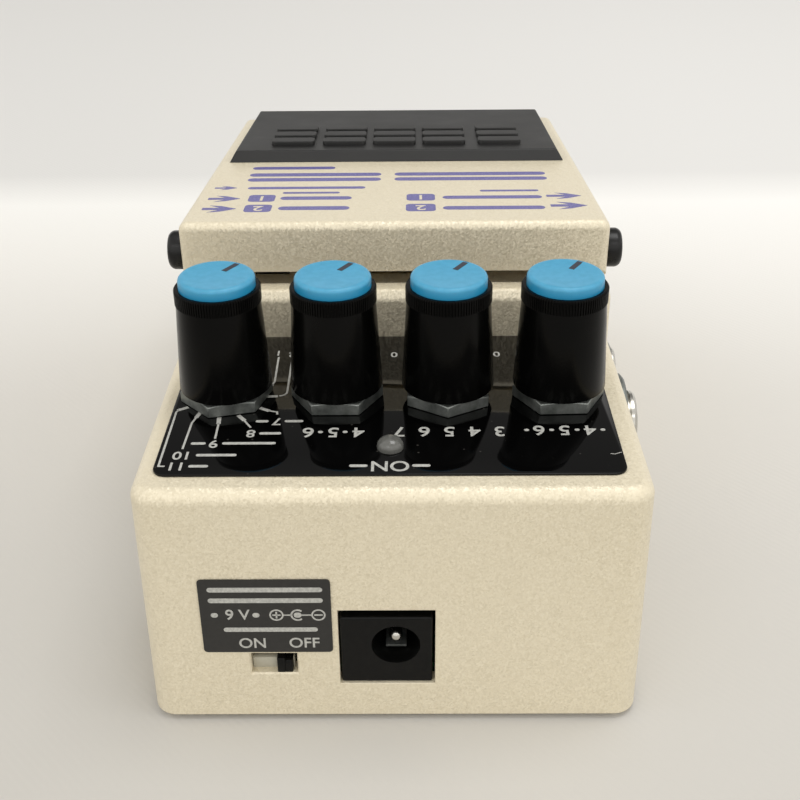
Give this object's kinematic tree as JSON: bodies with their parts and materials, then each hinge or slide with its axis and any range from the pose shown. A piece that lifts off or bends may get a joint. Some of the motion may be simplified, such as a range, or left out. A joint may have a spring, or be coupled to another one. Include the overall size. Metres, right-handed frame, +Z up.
{
  "type": "guitar effects pedal",
  "caption": "Compact guitar effects pedal: cream die-cast shell, sloped control panel with tall blue-topped knobs, hinged treadle with a rubber pad.",
  "frame": {"origin": "on the floor under the middle of the whole width and length, thumbscrew included", "axes": "+Z up, +Y from the power inlet's face to the toe end of the treadle, +X to the side with the output jacks"},
  "size_m": [0.077, 0.1318, 0.0592],
  "materials": {
    "shell_paint": "pearl cream paint, satin gloss",
    "steel_sheet": "zinc plated, satin",
    "rubber_black": "matte",
    "plastic_black_gloss": "glossy",
    "plastic_black_matte": "matte",
    "plastic_blue": "satin",
    "zinc_nut": "dull zinc",
    "nickel_plated": "nickel plated",
    "circuit_board": "green solder mask",
    "lamp_clear": "clear resin",
    "label_grey": "matte print"
  },
  "bodies": {
    "housing": {"main_housing": "shell_paint", "bottom_plate": "steel_sheet", "bottom_rubber_sheet": "rubber_black", "bottom_screw_1": "steel_sheet", "bottom_screw_2": "steel_sheet", "bottom_screw_3": "steel_sheet", "bottom_screw_4": "steel_sheet", "guide_bush": "plastic_black_matte", "return_spring": "steel_sheet", "foot_switch": "plastic_black_matte", "switch_board": "circuit_board", "battery_snap": "plastic_black_matte", "panel_label": "plastic_black_gloss", "pot_nut_1": "zinc_nut", "pot_nut_2": "zinc_nut", "pot_nut_3": "zinc_nut", "pot_nut_4": "zinc_nut", "pot_1": "steel_sheet", "pot_2": "steel_sheet", "pot_3": "steel_sheet", "pot_4": "steel_sheet", "control_board": "circuit_board", "led": "lamp_clear", "dc_jack": "plastic_black_gloss", "dc_jack_pin": "nickel_plated", "slide_switch": "steel_sheet", "rear_label": "label_grey", "output_jack_1": "plastic_black_matte", "output_jack_1_nut": "nickel_plated", "output_jack_2": "plastic_black_matte", "output_jack_2_nut": "nickel_plated", "input_jack_1": "plastic_black_matte", "input_jack_1_nut": "nickel_plated", "input_jack_2": "plastic_black_matte", "input_jack_2_nut": "nickel_plated", "control_jack": "plastic_black_matte", "control_jack_nut": "nickel_plated", "main_board": "circuit_board"},
    "hinge_bushes": {"hinge_bush_left": "plastic_black_gloss", "hinge_bush_right": "plastic_black_gloss"},
    "treadle_cover": {"treadle": "shell_paint", "treadle_pad": "rubber_black"},
    "thumbscrew": {"thumbscrew_shaft": "steel_sheet"},
    "thumbscrew_grip": {"thumbscrew_head": "plastic_black_matte"},
    "foot_switch_plunger": {"switch_plunger": "rubber_black", "foot_switch_button": "plastic_black_gloss"},
    "slide_lever": {"slide_switch_lever": "plastic_black_matte"},
    "knob_assembly_1": {"knob_1": "plastic_black_gloss", "knob_cap_1": "plastic_blue", "pot_shaft_1": "nickel_plated"},
    "knob_assembly_2": {"knob_2": "plastic_black_gloss", "knob_cap_2": "plastic_blue", "pot_shaft_2": "nickel_plated"},
    "knob_assembly_3": {"knob_3": "plastic_black_gloss", "knob_cap_3": "plastic_blue", "pot_shaft_3": "nickel_plated"},
    "knob_assembly_4": {"knob_4": "plastic_black_gloss", "knob_cap_4": "plastic_blue", "pot_shaft_4": "nickel_plated"}
  },
  "joints": [
    {"name": "treadle_open", "type": "hinge", "parent": "housing", "child": "hinge_bushes", "pos_m": [0, -0.01075, 0.0506], "axis": [1, 0, 0], "range_deg": [0, 68]},
    {"name": "treadle_press", "type": "hinge", "parent": "hinge_bushes", "child": "treadle_cover", "pos_m": [0, -0.01075, 0.0506], "axis": [1, 0, 0], "range_deg": [-2.2, 0], "stiffness_Nm_per_rad": 4, "springref_deg": 1.72, "deforming": ["return_spring"]},
    {"name": "switch_press", "type": "slide", "parent": "housing", "child": "foot_switch_plunger", "axis": [0, 0, 1], "range_m": [-0.0009, 0]},
    {"name": "thumbscrew_advance", "type": "slide", "parent": "treadle_cover", "child": "thumbscrew", "axis": [0, -1, 0], "range_m": [0, 0.002]},
    {"name": "thumbscrew_turn", "type": "hinge", "parent": "thumbscrew", "child": "thumbscrew_grip", "pos_m": [0, 0.0629, 0.0428], "axis": [0, -1, 0], "range_deg": [0, 721]},
    {"name": "slide_switch_move", "type": "slide", "parent": "housing", "child": "slide_lever", "axis": [1, 0, 0], "range_m": [-0.0029, 0]},
    {"name": "knob_1_turn", "type": "hinge", "parent": "housing", "child": "knob_assembly_1", "pos_m": [-0.02483, -0.03899, 0.03907], "axis": [0, 0.0226, 0.9997], "range_deg": [-300, 0]},
    {"name": "knob_2_turn", "type": "hinge", "parent": "housing", "child": "knob_assembly_2", "pos_m": [-0.00839, -0.03899, 0.03907], "axis": [0, 0.0226, 0.9997], "range_deg": [-300, 0]},
    {"name": "knob_3_turn", "type": "hinge", "parent": "housing", "child": "knob_assembly_3", "pos_m": [0.00805, -0.03899, 0.03907], "axis": [0, 0.0226, 0.9997], "range_deg": [-300, 0]},
    {"name": "knob_4_turn", "type": "hinge", "parent": "housing", "child": "knob_assembly_4", "pos_m": [0.02449, -0.03899, 0.03907], "axis": [0, 0.0226, 0.9997], "range_deg": [-300, 0]}
  ],
  "couplings": [
    {"joint": "switch_press", "follows": "treadle_press", "m_per_rad": 0.0208},
    {"joint": "thumbscrew_turn", "follows": "thumbscrew_advance", "rad_per_m": 6283.2}
  ]
}
